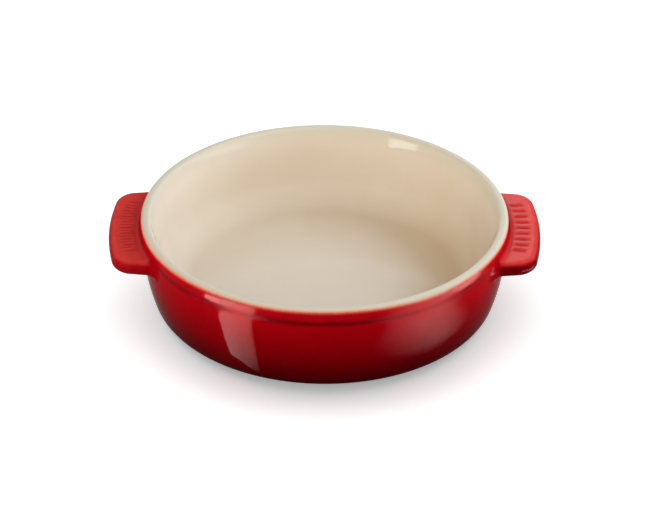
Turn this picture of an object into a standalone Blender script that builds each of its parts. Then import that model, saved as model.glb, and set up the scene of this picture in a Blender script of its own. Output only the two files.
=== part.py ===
# Tapas dish: a round stoneware dish with two lug handles, cream glaze inside and red glaze outside.
# Metres, +Z up. The origin is on the table under the middle of the dish, and the handles lie along X.

import math

import bmesh
import bpy
from mathutils import Matrix, Vector

# Overall form
DISH_HEIGHT = 0.0394  # table to the top of the lip
RIM_RADIUS = 0.0700  # outside of the rim band
LIP_WIDTH = 0.0046  # across the top of the wall
LIP_OUTER_ROUNDING = 0.0026
LIP_INNER_ROUNDING = 0.0019

# Outside of the wall, with depths measured down from the top of the lip
BAND_DEPTH = 0.0056  # where the rim band starts to turn in
STEP_DEPTH = 0.0068  # where the belly starts under the band
BAND_PROUD = 0.0009  # how far the band stands out over the belly
BAND_ROUNDING = 0.0012
STEP_ROUNDING = 0.0012
KNEE_DEPTH = 0.0205  # middle of the bow in which the belly starts to lean in
BELLY_BOW = 0.0800  # radius of that bow
BASE_RADIUS = 0.0635  # where the leaning wall would meet the underside
BASE_ROUNDING = 0.0085

# Hollow
HOLLOW_DEPTH = 0.0300  # top of the lip to the floor
FLOOR_RADIUS = 0.0620  # where the wall would meet the floor
FLOOR_ROUNDING = 0.0120

# Foot ring, and the recess inside it
FOOT_RADIUS = 0.0560
FOOT_WIDTH = 0.0045
FOOT_HEIGHT = 0.0008  # table to the glaze of the belly
FOOT_ROUNDING = 0.0004
RECESS_HEIGHT = 0.0013  # table to the glaze inside the ring

# Lug handles
LUG_REACH = 0.0822  # middle of the dish to the tip of a handle
LUG_EDGE_RADIUS = 0.1150  # arc of the outer edge, flatter than the rim
LUG_WIDTH = 0.0553  # across a handle at the rim band
LUG_TAPER = 0.1300  # how much each side closes in over its length
LUG_CORNER = 0.0057
LUG_TOP_DEPTH = 0.0060  # top of the lip to the handle's top face
LUG_THICKNESS = 0.0059
LUG_ROUNDING = 0.0028

# Grip ribs on top of each handle
RIB_COUNT = 9
RIB_PITCH = 0.0042
RIB_LENGTH = 0.0048
RIB_WIDTH = 0.0013
RIB_HEIGHT = 0.0004
RIB_ROUNDING = 0.0003
RIB_EDGE_GAP = 0.0040  # tip of the handle to the outer ends of the ribs

# Glaze
GLAZE = 0.0004  # thickness of each coat
CLEARANCE = 0.0003  # between a coat and the clay, and between two coats
COLOUR_LINE_DEPTH = 0.0016  # top of the lip to where cream meets red

# Fineness of the facets
TURN_STEPS = 48
ARC_ANGLE = math.radians(22)
ARC_LENGTH = 0.006
LUG_EDGE_STEPS = 4
LUG_CORNER_STEPS = 4
LUG_ROUNDING_STEPS = 3
RIB_ROUNDING_STEPS = 2
SHARP_ANGLE = math.radians(50)
FLAT_ANGLE = math.radians(1)
SAME_HEIGHT = 0.000001

# How far a cutter or a buried root reaches past the face that it has to clear
OVERREACH = 0.004

# Colours as seen, 0 to 255
CREAM = (216, 206, 184)
RED = (158, 10, 20)
DARK_RED = (112, 6, 12)
BUFF = (222, 203, 172)
GLAZE_ROUGHNESS = 0.12
CLAY_ROUGHNESS = 0.75

BELLY_RADIUS = RIM_RADIUS - BAND_PROUD
HOLLOW_RADIUS = RIM_RADIUS - LIP_WIDTH
COLOUR_LINE = DISH_HEIGHT - COLOUR_LINE_DEPTH
CLAY_INSET = GLAZE + CLEARANCE
LUG_ROOT_RADIUS = (BELLY_RADIUS + HOLLOW_RADIUS) / 2


# Corners are (radius, height, rounding). With the clay on the right, the glazed face runs from
# the middle of the floor up the wall, over the lip and down the outside to the foot ring.
def glazed_corners(end_radius):
    floor = DISH_HEIGHT - HOLLOW_DEPTH
    return [
        (0.0, floor, 0.0),
        (FLOOR_RADIUS, floor, FLOOR_ROUNDING),
        (HOLLOW_RADIUS, DISH_HEIGHT, LIP_INNER_ROUNDING),
        (RIM_RADIUS, DISH_HEIGHT, LIP_OUTER_ROUNDING),
        (RIM_RADIUS, DISH_HEIGHT - BAND_DEPTH, BAND_ROUNDING),
        (BELLY_RADIUS, DISH_HEIGHT - STEP_DEPTH, STEP_ROUNDING),
        (BELLY_RADIUS, DISH_HEIGHT - KNEE_DEPTH, BELLY_BOW),
        (BASE_RADIUS, FOOT_HEIGHT, BASE_ROUNDING),
        (end_radius, FOOT_HEIGHT, 0.0),
    ]


def foot_corners():
    ceiling = RECESS_HEIGHT + CLAY_INSET
    inner_radius = FOOT_RADIUS - FOOT_WIDTH
    return [
        (FOOT_RADIUS, FOOT_HEIGHT + CLAY_INSET, 0.0),
        (FOOT_RADIUS, 0.0, FOOT_ROUNDING),
        (inner_radius, 0.0, FOOT_ROUNDING),
        (inner_radius, ceiling, FOOT_ROUNDING),
        (0.0, ceiling, 0.0),
    ]


# A path through the corners moved into the clay by inset, with each corner rounded. A rounding
# that is too large for the straights beside it is limited to them.
def rounded_path(corners, inset=0.0):
    spots = [Vector(corner[:2]) for corner in corners]
    legs = [(b - a).normalized() for a, b in zip(spots, spots[1:])]
    clay_sides = [Vector((leg.y, -leg.x)) for leg in legs]
    turns = [0.0] + [a.angle_signed(b) for a, b in zip(legs, legs[1:])] + [0.0]
    moved = [spots[0] + clay_sides[0] * inset]
    for spot, before, after in zip(spots[1:], clay_sides, clay_sides[1:]):
        moved.append(spot + (before + after) * inset / (1 + before.dot(after)))
    moved.append(spots[-1] + clay_sides[-1] * inset)
    # A turn to the right is positive, and stands out of the clay
    wanted = [max(corner[2] - math.copysign(inset, turn), 0.0) for corner, turn in zip(corners, turns)]
    cut_back = [rounding * math.tan(abs(turn) / 2) for rounding, turn in zip(wanted, turns)]
    points = [moved[0]]
    for i in range(1, len(moved) - 1):
        room_before = (moved[i] - moved[i - 1]).length / (cut_back[i - 1] + cut_back[i])
        room_after = (moved[i + 1] - moved[i]).length / (cut_back[i] + cut_back[i + 1])
        rounding = wanted[i] * min(1.0, room_before, room_after)
        points += round_corner(moved[i], legs[i - 1], turns[i], rounding)
    points.append(moved[-1])
    return points


def round_corner(corner, leg_in, turn, rounding):
    pieces = max(2, round(abs(turn) / ARC_ANGLE), round(abs(turn) * rounding / ARC_LENGTH))
    start = corner - leg_in * rounding * math.tan(abs(turn) / 2)
    to_centre = Vector((leg_in.y, -leg_in.x)) * math.copysign(rounding, turn)
    spokes = [Matrix.Rotation(-turn * i / pieces, 2) @ to_centre for i in range(pieces + 1)]
    return [start + to_centre - spoke for spoke in spokes]


# The stretch of a glazed face from the top of the lip down the outside
def outside_of(path):
    top = max(point.y for point in path)
    last_on_top = max(i for i, point in enumerate(path) if top - point.y < SAME_HEIGHT)
    return path[last_on_top:]


# A path parted where it last drops through a height
def split_at_height(points, height):
    last_above = max(i for i, point in enumerate(points) if point.y > height)
    a = points[last_above]
    b = points[last_above + 1]
    crossing = a.lerp(b, (a.y - height) / (a.y - b.y))
    return points[: last_above + 1] + [crossing], [crossing] + points[last_above + 1 :]


# Outline of a handle at +X seen from above, shrunk by inset
def lug_outline(inset):
    across = Vector((LUG_TAPER, 1.0)).normalized()
    along = Vector((across.y, -across.x))
    side = across.dot(Vector((RIM_RADIUS, LUG_WIDTH / 2))) - inset
    corner_radius = LUG_CORNER - inset
    edge_radius = LUG_EDGE_RADIUS - inset
    edge_centre = Vector((LUG_REACH - LUG_EDGE_RADIUS, 0.0))
    # The corner's arc touches the side from inside and the outer edge from inside
    off_side = side - corner_radius - across.dot(edge_centre)
    up_side = math.sqrt((edge_radius - corner_radius) ** 2 - off_side**2)
    corner_centre = edge_centre + across * off_side + along * up_side
    to_corner = corner_centre - edge_centre
    tip_angle = math.atan2(to_corner.y, to_corner.x)
    side_angle = math.atan2(across.y, across.x)
    half = []
    for i in range(LUG_EDGE_STEPS + 1):
        angle = tip_angle * i / LUG_EDGE_STEPS
        half.append(edge_centre + Vector((math.cos(angle), math.sin(angle))) * edge_radius)
    for i in range(1, LUG_CORNER_STEPS + 1):
        angle = tip_angle + (side_angle - tip_angle) * i / LUG_CORNER_STEPS
        half.append(corner_centre + Vector((math.cos(angle), math.sin(angle))) * corner_radius)
    root_x = math.sqrt(LUG_ROOT_RADIUS**2 - (LUG_WIDTH / 2) ** 2) - OVERREACH
    half.append(Vector((root_x, (side - across.x * root_x) / across.y)))
    mirrored = [Vector((spot.x, -spot.y)) for spot in reversed(half[1:])]
    return mirrored + half


def clear_scene():
    for obj in list(bpy.data.objects):
        bpy.data.objects.remove(obj)


def new_collection(name):
    collection = bpy.data.collections.new(name)
    bpy.context.scene.collection.children.link(collection)
    return collection


def new_object(name, data, collection):
    obj = bpy.data.objects.new(name, data)
    collection.objects.link(obj)
    if collection.name == "cutters":
        obj.hide_render = True
        obj.display_type = "WIRE"
    return obj


def add_boolean(obj, operation, other):
    boolean = obj.modifiers.new(operation.title(), "BOOLEAN")
    boolean.operation = operation
    boolean.object = other


# A solid turned about Z from a path that starts and ends on the axis
def turned_solid(name, points, collection):
    mesh = bpy.data.meshes.new(name)
    spots = [(point.x, 0.0, point.y) for point in points]
    mesh.from_pydata(spots, [(i, i + 1) for i in range(len(spots) - 1)], [])
    obj = new_object(name, mesh, collection)
    screw = obj.modifiers.new("Turn", "SCREW")
    screw.steps = TURN_STEPS
    screw.render_steps = TURN_STEPS
    screw.use_merge_vertices = True
    screw.merge_threshold = 0.00001
    screw.use_smooth_shade = True
    return obj


# A curve's mesh with its caps welded, in the curve's place
def as_mesh_object(drawn, collection):
    bpy.context.view_layer.update()
    evaluated = drawn.evaluated_get(bpy.context.evaluated_depsgraph_get())
    mesh = bpy.data.meshes.new_from_object(evaluated)
    welded = bmesh.new()
    welded.from_mesh(mesh)
    bmesh.ops.remove_doubles(welded, verts=welded.verts, dist=0.00001)
    bmesh.ops.dissolve_limit(welded, angle_limit=FLAT_ANGLE, verts=welded.verts, edges=welded.edges)
    welded.to_mesh(mesh)
    welded.free()
    mesh.shade_smooth()
    mesh.set_sharp_from_angle(angle=SHARP_ANGLE)
    name = drawn.name
    drawn.name = name + "_outline"
    obj = new_object(name, mesh, collection)
    obj.matrix_world = drawn.matrix_world
    bpy.data.objects.remove(drawn)
    return obj


def add_bevel(obj, width, segments):
    bevel = obj.modifiers.new("Rounded edges", "BEVEL")
    bevel.width = width
    bevel.segments = segments
    bevel.limit_method = "ANGLE"
    bevel.angle_limit = SHARP_ANGLE
    bevel.use_clamp_overlap = False


# A handle's plate with rounded edges, its root a hollow arc that stays buried in the wall
def make_lug(name, turn, inset, root_cutter, collection):
    curve = bpy.data.curves.new(name, "CURVE")
    curve.dimensions = "2D"
    curve.fill_mode = "BOTH"
    curve.extrude = LUG_THICKNESS / 2 - inset
    spots = lug_outline(inset)
    spline = curve.splines.new("POLY")
    spline.points.add(len(spots) - 1)
    for point, spot in zip(spline.points, spots):
        point.co = (spot.x, spot.y, 0.0, 1.0)
    spline.use_cyclic_u = True
    drawn = new_object(name, curve, collection)
    drawn.location.z = DISH_HEIGHT - LUG_TOP_DEPTH - LUG_THICKNESS / 2
    drawn.rotation_euler.z = turn
    plate = as_mesh_object(drawn, collection)
    add_bevel(plate, LUG_ROUNDING - inset, LUG_ROUNDING_STEPS)
    add_boolean(plate, "DIFFERENCE", root_cutter)
    return plate


def make_root_cutter(collection):
    top = DISH_HEIGHT + OVERREACH
    corners = [(0.0, top), (LUG_ROOT_RADIUS, top), (LUG_ROOT_RADIUS, 0.0), (0.0, 0.0)]
    return turned_solid("lug_root", [Vector(corner) for corner in corners], collection)


def add_lugs(obj, inset, root_cutter, collection):
    for side, turn in (("right", 0.0), ("left", math.pi)):
        lug = make_lug(f"{obj.name}_{side}_lug", turn, inset, root_cutter, collection)
        add_boolean(obj, "UNION", lug)


# Short raised bars across the top of both handles, pointing at the middle of the dish
def add_ribs(obj, collection):
    middle_radius = LUG_REACH - RIB_EDGE_GAP - RIB_LENGTH / 2
    top = DISH_HEIGHT - LUG_TOP_DEPTH + RIB_HEIGHT
    buried = LUG_THICKNESS / 2
    mesh = bpy.data.meshes.new("rib")
    block = bmesh.new()
    bmesh.ops.create_cube(block, size=1.0)
    bmesh.ops.scale(block, vec=(RIB_LENGTH, RIB_WIDTH, RIB_HEIGHT + buried), verts=block.verts)
    shift = Vector((middle_radius, 0.0, top - (RIB_HEIGHT + buried) / 2))
    bmesh.ops.translate(block, vec=shift, verts=block.verts)
    block.to_mesh(mesh)
    block.free()
    for turn in (0.0, math.pi):
        for i in range(RIB_COUNT):
            rib = new_object("rib", mesh, collection)
            rib.rotation_euler.z = turn + (i - (RIB_COUNT - 1) / 2) * RIB_PITCH / middle_radius
            add_bevel(rib, RIB_ROUNDING, RIB_ROUNDING_STEPS)
            add_boolean(obj, "UNION", rib)


# The fired clay under the glaze, with both handles and the bare foot ring
def make_stoneware_body(parts, cutters, root_cutter):
    glazed = rounded_path(glazed_corners(FOOT_RADIUS), CLAY_INSET)
    foot = rounded_path(foot_corners())
    body = turned_solid("stoneware_body", glazed[:-1] + foot, parts)
    add_lugs(body, CLAY_INSET, root_cutter, cutters)
    return body


# The cream coat from the middle of the floor over the lip to the colour line
def make_interior_glaze(parts):
    end = COLOUR_LINE + CLEARANCE / 2
    corners = glazed_corners(FOOT_RADIUS)
    seen_side = split_at_height(rounded_path(corners), end)[0]
    clay_side = split_at_height(rounded_path(corners, GLAZE), end)[0]
    return turned_solid("interior_glaze", seen_side + clay_side[::-1], parts)


# The red coat from the colour line over the handles and the belly to the foot ring
def make_exterior_glaze(parts, cutters, root_cutter):
    end = COLOUR_LINE - CLEARANCE / 2
    outside = split_at_height(rounded_path(glazed_corners(0.0)), end)[1]
    glaze = turned_solid("exterior_glaze", [Vector((0.0, end))] + outside, parts)
    add_lugs(glaze, 0.0, root_cutter, cutters)
    add_ribs(glaze, cutters)
    foot_end = FOOT_RADIUS + CLEARANCE
    clay_side = outside_of(rounded_path(glazed_corners(foot_end), GLAZE))
    core_top = Vector((0.0, DISH_HEIGHT - GLAZE))
    way_out = [Vector((foot_end, -OVERREACH)), Vector((0.0, -OVERREACH))]
    core = turned_solid("glaze_core", [core_top] + clay_side + way_out, cutters)
    add_lugs(core, GLAZE, root_cutter, cutters)
    add_boolean(glaze, "DIFFERENCE", core)
    return glaze


# The coat in the recess inside the foot ring
def make_underside_glaze(parts):
    top = RECESS_HEIGHT + GLAZE
    radius = FOOT_RADIUS - FOOT_WIDTH - CLEARANCE - FOOT_ROUNDING
    corners = [(0.0, top), (radius, top), (radius, RECESS_HEIGHT), (0.0, RECESS_HEIGHT)]
    return turned_solid("underside_glaze", [Vector(corner) for corner in corners], parts)


def linear(value):
    share = value / 255
    return share / 12.92 if share <= 0.04045 else ((share + 0.055) / 1.055) ** 2.4


def finish(obj, colour, roughness):
    material = bpy.data.materials.new(obj.name)
    material.use_nodes = True
    shader = material.node_tree.nodes["Principled BSDF"]
    shader.inputs["Base Color"].default_value = [linear(value) for value in colour] + [1.0]
    shader.inputs["Roughness"].default_value = roughness
    shader.inputs["Metallic"].default_value = 0.0
    obj.data.materials.append(material)


def main():
    clear_scene()
    parts = new_collection("tapas_dish")
    cutters = new_collection("cutters")
    dish = new_object("tapas_dish", None, parts)
    root_cutter = make_root_cutter(cutters)
    finishes = (
        (make_stoneware_body(parts, cutters, root_cutter), BUFF, CLAY_ROUGHNESS),
        (make_interior_glaze(parts), CREAM, GLAZE_ROUGHNESS),
        (make_exterior_glaze(parts, cutters, root_cutter), RED, GLAZE_ROUGHNESS),
        (make_underside_glaze(parts), DARK_RED, GLAZE_ROUGHNESS),
    )
    for piece, colour, roughness in finishes:
        piece.parent = dish
        finish(piece, colour, roughness)


main()
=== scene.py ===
import math

import bpy
import numpy as np
from mathutils import Matrix, Vector


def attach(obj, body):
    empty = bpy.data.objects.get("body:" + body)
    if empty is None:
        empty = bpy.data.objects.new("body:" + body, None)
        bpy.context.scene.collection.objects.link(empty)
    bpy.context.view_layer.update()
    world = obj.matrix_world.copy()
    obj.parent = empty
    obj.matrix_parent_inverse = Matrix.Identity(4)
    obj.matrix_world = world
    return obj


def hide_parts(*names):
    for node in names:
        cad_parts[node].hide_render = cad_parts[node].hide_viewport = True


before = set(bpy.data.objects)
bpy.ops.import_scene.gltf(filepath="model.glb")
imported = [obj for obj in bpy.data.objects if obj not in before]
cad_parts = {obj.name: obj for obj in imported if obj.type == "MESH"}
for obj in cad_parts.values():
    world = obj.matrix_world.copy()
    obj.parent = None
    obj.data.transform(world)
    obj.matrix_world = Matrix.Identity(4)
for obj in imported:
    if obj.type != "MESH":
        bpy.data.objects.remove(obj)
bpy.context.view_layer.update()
mm = 0.001

dish = {
    "height": 39.05,
    "rimRadius": 70.0,
    "lipWidth": 3.4,
    "lipOuterRounding": 1.8,
    "lipInnerRounding": 1.5,
    "flareDepth": 7.5,  # the top of the inner wall leans out a little more
    "flareWidth": 3.0,
    "flareRounding": 44.0,
    "hollowDepth": 29.65,
    "floorRadius": 62.0,
    "floorRounding": 12.0,
    "bandDepth": 4.6,  # from the top of the lip, as all depths
    "stepDepth": 7.2,
    "bandProud": 0.55,
    "bandRounding": 5.0,
    "stepRounding": 3.6,
    "kneeDepth": 20.15,
    "bellyBow": 74.0,
    "baseRadius": 63.5,
    "baseRounding": 8.5,
    "footRadius": 56.0,
    "footWidth": 4.5,
    "footHeight": 0.8,
    "recessHeight": 1.3,
}


arcStep = 3  # degrees


# Corners are (radius, height, rounding); each arc is cut into steps of about arcStep
def roundedPath(corners):
    spots = [Vector(corner[:2]) for corner in corners]
    path = [spots[0]]
    for i in range(1, len(spots) - 1):
        back = (spots[i - 1] - spots[i]).normalized()
        onward = (spots[i + 1] - spots[i]).normalized()
        rounding = corners[i][2]
        halfAngle = back.angle(onward) / 2
        centre = spots[i] + (back + onward).normalized() * rounding / math.sin(halfAngle)
        spoke = spots[i] + back * rounding / math.tan(halfAngle) - centre
        turn = math.copysign(math.pi - 2 * halfAngle, back.cross(onward))
        steps = max(2, round(math.degrees(abs(turn)) / arcStep))
        path += [centre + Matrix.Rotation(-turn * k / steps, 2) @ spoke for k in range(steps + 1)]
    return np.array(path + [spots[-1]])


def lengthAlong(path):
    return np.concatenate([[0.0], np.cumsum(np.hypot(*np.diff(path, axis=0).T))])


top = dish["height"]
belly = dish["rimRadius"] - dish["bandProud"]
glazedPath = roundedPath([
    (0.0, top - dish["hollowDepth"], 0.0),
    (dish["floorRadius"], top - dish["hollowDepth"], dish["floorRounding"]),
    (dish["rimRadius"] - dish["lipWidth"] - dish["flareWidth"], top - dish["flareDepth"], dish["flareRounding"]),
    (dish["rimRadius"] - dish["lipWidth"], top, dish["lipInnerRounding"]),
    (dish["rimRadius"], top, dish["lipOuterRounding"]),
    (dish["rimRadius"], top - dish["bandDepth"], dish["bandRounding"]),
    (belly, top - dish["stepDepth"], dish["stepRounding"]),
    (belly, top - dish["kneeDepth"], dish["bellyBow"]),
    (dish["baseRadius"], dish["footHeight"], dish["baseRounding"]),
    (dish["footRadius"], dish["footHeight"], 0.0),
])
glazedLength = lengthAlong(glazedPath)
lipIndex = int(np.flatnonzero(glazedPath[:, 1] > top - 1e-4)[-1])  # where the lip starts to turn outwards


# Length along the profile at a depth on the outside
def outsideLength(depth):
    return np.interp(depth, top - glazedPath[lipIndex:, 1], glazedLength[lipIndex:])


def profileAt(length):
    return np.interp(length, glazedLength, glazedPath[:, 0]), np.interp(length, glazedLength, glazedPath[:, 1])


# The dipped edge, where cream meets red, hangs a little lower on the right and wavers
colourEdge = {
    "depth": 0.68,
    "dropAtRight": 0.3,
    "waves": [(3, 1.0, 0.06), (7, 2.2, 0.036)],  # number round the rim, phase, millimetres
    "sags": [(-53, 16, 0.4), (-160, 20, 0.3)],  # angle and width in degrees, millimetres
}


def colourEdgeLength(angles):
    depth = colourEdge["depth"] + colourEdge["dropAtRight"] * np.maximum(np.cos(angles), 0.0)
    for number, phase, drop in colourEdge["waves"]:
        depth = depth + drop * np.sin(number * angles + phase)
    for middle, width, drop in colourEdge["sags"]:
        away = (np.degrees(angles) - middle + 180) % 360 - 180
        depth = depth + drop * np.exp(-(away / width) ** 2)
    return outsideLength(depth)


# Columns are closer at the handles, where the coat bends out over them
columns = {"handleSpread": 27.5, "perHandle": 220, "between": 92}


def columnAngles():
    half = math.radians(columns["handleSpread"])
    handle = np.linspace(-half, half, columns["perHandle"], endpoint=False)
    between = np.linspace(half, math.pi - half, columns["between"], endpoint=False)
    return np.concatenate([handle, between, handle + math.pi, between + math.pi])


angles = columnAngles()
edgeLength = colourEdgeLength(angles)


# Quads of a grid closed round the axis, that face the way the glazed profile does
def turnedFaces(columnCount, rowCount):
    column, row = np.meshgrid(np.arange(columnCount), np.arange(rowCount - 1), indexing="ij")
    here = column * rowCount + row
    beside = (column + 1) % columnCount * rowCount + row
    return np.stack([here, here + 1, beside + 1, beside], -1)


def turnedPoints(turnAngles, radius, height):
    return np.stack([radius * np.cos(turnAngles), radius * np.sin(turnAngles), height], -1)


# A smooth mesh of the quads, with the points that they leave out dropped, and of the flat caps
def meshObject(name, points, quads, caps=(), layers=None):
    used, inverse = np.unique(quads, return_inverse=True)
    number = np.zeros(len(points), dtype=int)
    number[used] = np.arange(len(used))
    mesh = bpy.data.meshes.new(name)
    faces = inverse.reshape(quads.shape).tolist() + [number[cap].tolist() for cap in caps]
    mesh.from_pydata((points[used] * mm).tolist(), [], faces)
    mesh.shade_smooth()
    for layerName, values in (layers or {}).items():
        layer = mesh.attributes.new(layerName, "FLOAT", "POINT")
        layer.data.foreach_set("value", values[used].astype(np.float32))
    piece = bpy.data.objects.new(name, mesh)
    bpy.context.scene.collection.objects.link(piece)
    return piece


thinness = {"fullCurve": 0.22, "passes": 4}  # bend per millimetre that counts as sharp, and rounds of smoothing


# Glaze runs thin over sharp edges and gathers in hollows: 1 on an edge, -1 in a groove
def addThinness(piece):
    mesh = piece.data
    spots = np.empty(len(mesh.vertices) * 3)
    mesh.vertices.foreach_get("co", spots)
    spots = spots.reshape(-1, 3) / mm
    normals = np.empty(len(mesh.vertices) * 3)
    mesh.vertex_normals.foreach_get("vector", normals)
    normals = normals.reshape(-1, 3)
    ends = np.empty(len(mesh.edges) * 2, dtype=np.int32)
    mesh.edges.foreach_get("vertices", ends)
    a, b = ends.reshape(-1, 2).T
    reach = spots[b] - spots[a]
    square = (reach ** 2).sum(1)
    bend = np.zeros(len(spots))
    count = np.zeros(len(spots))
    for start, way, normal in ((a, 1, normals[a]), (b, -1, normals[b])):
        np.add.at(bend, start, -2 * way * (reach * normal).sum(1) / square)
        np.add.at(count, start, 1)
    bend /= count
    for _ in range(thinness["passes"]):
        total = bend.copy()
        np.add.at(total, a, bend[b])
        np.add.at(total, b, bend[a])
        bend = total / (count + 1)
    layer = mesh.attributes.new("thinness", "FLOAT", "POINT")
    layer.data.foreach_set("value", np.clip(bend / thinness["fullCurve"], -1, 1).astype(np.float32))


creamCoat = {
    "capRadius": 6.0,  # a flat disc closes the middle
    "floorRows": 12,
    "wallStep": 0.6,
    "lipStart": 1.0,  # rows are level up to this far before the lip turns outwards
    "lipRows": 16,
}


def makeCreamCoat():
    flatRadius = dish["floorRadius"] - dish["floorRounding"]
    corner = np.interp(flatRadius, glazedPath[:lipIndex, 0], glazedLength[:lipIndex])
    lip = glazedLength[lipIndex] - creamCoat["lipStart"]
    floor = np.linspace(creamCoat["capRadius"], corner, creamCoat["floorRows"], endpoint=False)
    wall = np.linspace(corner, lip, round((lip - corner) / creamCoat["wallStep"]), endpoint=False)
    fixed = np.tile(np.concatenate([floor, wall]), (len(angles), 1))
    share = np.linspace(0.0, 1.0, creamCoat["lipRows"])
    lengths = np.hstack([fixed, lip + (edgeLength[:, None] - lip) * share])
    radius, height = profileAt(lengths)
    points = turnedPoints(angles[:, None], radius, height).reshape(-1, 3)
    rows = lengths.shape[1]
    quads = turnedFaces(len(angles), rows).reshape(-1, 4)
    middle = np.arange(len(angles)) * rows
    layers = {
        "fromEdge": (lengths - edgeLength[:, None]).reshape(-1),
        "fromLip": (lengths - glazedLength[lipIndex]).reshape(-1),
    }
    return meshObject("creamGlazedInside", points, quads, [middle], layers)


redCoat = {
    "edgeRows": 9,  # rows from the colour edge to the first level one
    "levelDepth": 2.75,
    "rowStep": 0.5,
    "handleTop": 2.75,  # depths between which the wall opens into the handles
    "handleBottom": 15.05,
    "wallFrom": 2.35,  # depths of the wall that the handles blend into
    "wallTo": 19.0,
    "wallSamples": 400,
    "reach": 82.2,
    "edgeRadius": 115.0,
    "width": 55.3,
    "taper": 0.13,
    "corner": 5.7,
    "topDepth": 5.65,
    "thickness": 5.9,
    "rounding": 2.8,
    "fillet": 2.7,
    "outwardRows": 30,
    "arcSamples": 60,
    "cornerSamples": 30,
    "grooveDepth": 5.8,  # glaze gathers in a soft dark line under the band, painted darker too as shade under the band's step
    "grooveWidth": 1.0,
    "shadeDrop": 1.8,  # below its top, how far a handle's sides take to reach their darker tone
    "shadeReach": 3.0,  # and how far out from the rim
    "shadeLeft": 0.3,  # the left handle's share of it
}
farFromEdge = 9.0  # millimetres from the colour edge, where nothing melts
gripRibs = {
    "count": 9,
    "pitch": 4.2,
    "length": 5.0,
    "width": 1.5,
    "height": 0.42,
    "softEdge": 0.5,
    "edgeGap": 3.9,  # from the handle's outer edge
}
# How the handle's points find the clay: the step that feels for its slope, the longest move in a round, the
# rounds before, between and after evening out, and how far a point then goes to the middle of its neighbours
settling = {"probe": 0.01, "longestMove": 0.5, "before": 12, "between": 24, "after": 4, "evenShare": 0.6}

wallPart = glazedPath[lipIndex:][::-1]
wallPart = wallPart[(wallPart[:, 1] > top - redCoat["wallTo"]) & (wallPart[:, 1] < top - redCoat["wallFrom"])]
wallHeights = np.linspace(wallPart[0, 1], wallPart[-1, 1], redCoat["wallSamples"])
wallRadii = np.interp(wallHeights, wallPart[:, 1], wallPart[:, 0])
wallLean = 1 / np.hypot(1, np.gradient(wallRadii, wallHeights))
plateMiddle = top - redCoat["topDepth"] - redCoat["thickness"] / 2


# The plate's slanting side: the way it faces, and how far it is from the axis
def plateSide():
    across = Vector((redCoat["taper"], 1.0)).normalized()
    return across, across.dot(Vector((dish["rimRadius"], redCoat["width"] / 2)))


def smooth(share):
    return share * share * (3 - 2 * share)


# Distance to the clay near the right handle: the turned wall, the plate, and the fillet between
def clayDistance(points):
    x, y, z = points.T
    wall = (np.hypot(x, y) - np.interp(z, wallHeights, wallRadii)) * np.interp(z, wallHeights, wallLean)
    across, side = plateSide()
    pastSide = across.x * x + across.y * np.abs(y) - side
    pastEdge = np.hypot(x - redCoat["reach"] + redCoat["edgeRadius"], y) - redCoat["edgeRadius"]
    corner = redCoat["corner"]
    outline = np.minimum(np.maximum(pastSide, pastEdge), -corner)
    outline += np.hypot(np.maximum(pastSide + corner, 0), np.maximum(pastEdge + corner, 0))
    rounding = redCoat["rounding"]
    pastRim = outline + rounding
    pastFace = np.abs(z - plateMiddle) - redCoat["thickness"] / 2 + rounding
    plate = np.minimum(np.maximum(pastRim, pastFace), 0)
    plate += np.hypot(np.maximum(pastRim, 0), np.maximum(pastFace, 0)) - rounding
    fillet = redCoat["fillet"]
    softened = np.hypot(np.maximum(fillet - wall, 0), np.maximum(fillet - plate, 0))
    return np.maximum(fillet, np.minimum(wall, plate)) - softened


# Moves points onto the clay, a little in each round
def settle(points, rounds):
    probe = settling["probe"]
    for _ in range(rounds):
        value = clayDistance(points)
        slope = np.stack([clayDistance(points + shift) - value for shift in np.eye(3) * probe], 1) / probe
        move = -slope * (value / np.maximum((slope ** 2).sum(1), 0.1))[:, None]
        size = np.maximum(np.hypot(*move[:, :2].T) + abs(move[:, 2]), 1e-9)
        points = points + move * np.minimum(1, settling["longestMove"] / size)[:, None]
    return points


# Points along the plate's outer edge between the middles of its two corners, inset millimetres in
def plateEdge(share, inset):
    centre = redCoat["reach"] - redCoat["edgeRadius"]
    across, side = plateSide()
    corner = redCoat["corner"]
    offSide = side - corner - across.x * centre
    upSide = math.sqrt((redCoat["edgeRadius"] - corner) ** 2 - offSide ** 2)
    spot = Vector((centre, 0)) + across * offSide + Vector((across.y, -across.x)) * upSide
    tip = math.atan2(spot.y, spot.x - centre)
    middle = (tip + math.atan2(across.y, across.x)) / 2
    arc = np.linspace(0, tip, redCoat["arcSamples"])
    bend = np.linspace(tip, middle, redCoat["cornerSamples"])[1:]
    edge = redCoat["edgeRadius"] - inset
    half = np.vstack([
        np.stack([centre + edge * np.cos(arc), edge * np.sin(arc)], 1),
        np.stack([spot.x + (corner - inset) * np.cos(bend), spot.y + (corner - inset) * np.sin(bend)], 1),
    ])
    whole = np.vstack([half[:0:-1] * (1, -1), half])
    length = lengthAlong(whole)
    at = (share + 1) / 2 * length[-1]
    return np.stack([np.interp(at, length, whole[:, 0]), np.interp(at, length, whole[:, 1])], 1)


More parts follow.
